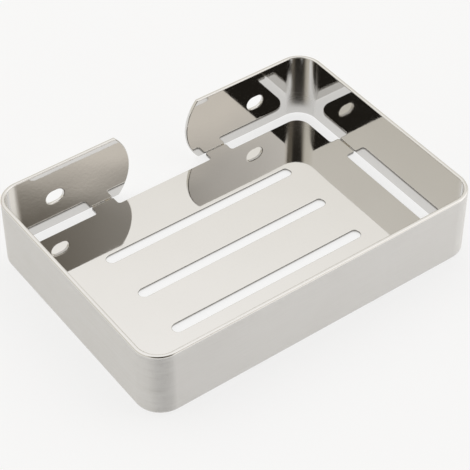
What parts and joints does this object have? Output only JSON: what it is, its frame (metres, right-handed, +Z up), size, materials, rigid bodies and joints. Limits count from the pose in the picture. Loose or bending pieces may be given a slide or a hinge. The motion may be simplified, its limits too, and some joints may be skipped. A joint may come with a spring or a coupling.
{
  "type": "wall-mounted soap holder",
  "caption": "Open rectangular wall tray of polished sheet steel with rounded corners, a draining floor with long slots, and bowed back tabs with oval screw holes.",
  "frame": {"origin": "middle of the holder's width and depth, level with the underside of the floor plate", "axes": "+X along the long side, to the right of someone who faces the wall; +Y into the wall; +Z up"},
  "size_m": [0.13, 0.0936, 0.0263],
  "materials": {
    "polished_steel": "mirror-polished stainless steel",
    "weld_steel": "cleaned weld, satin"
  },
  "bodies": {
    "root": {"wall_band": "polished_steel", "floor_plate": "polished_steel", "weld_back_left": "weld_steel", "weld_back_right": "weld_steel", "weld_left": "weld_steel", "weld_right": "weld_steel", "weld_front_left": "weld_steel", "weld_front_right": "weld_steel"}
  },
  "joints": []
}
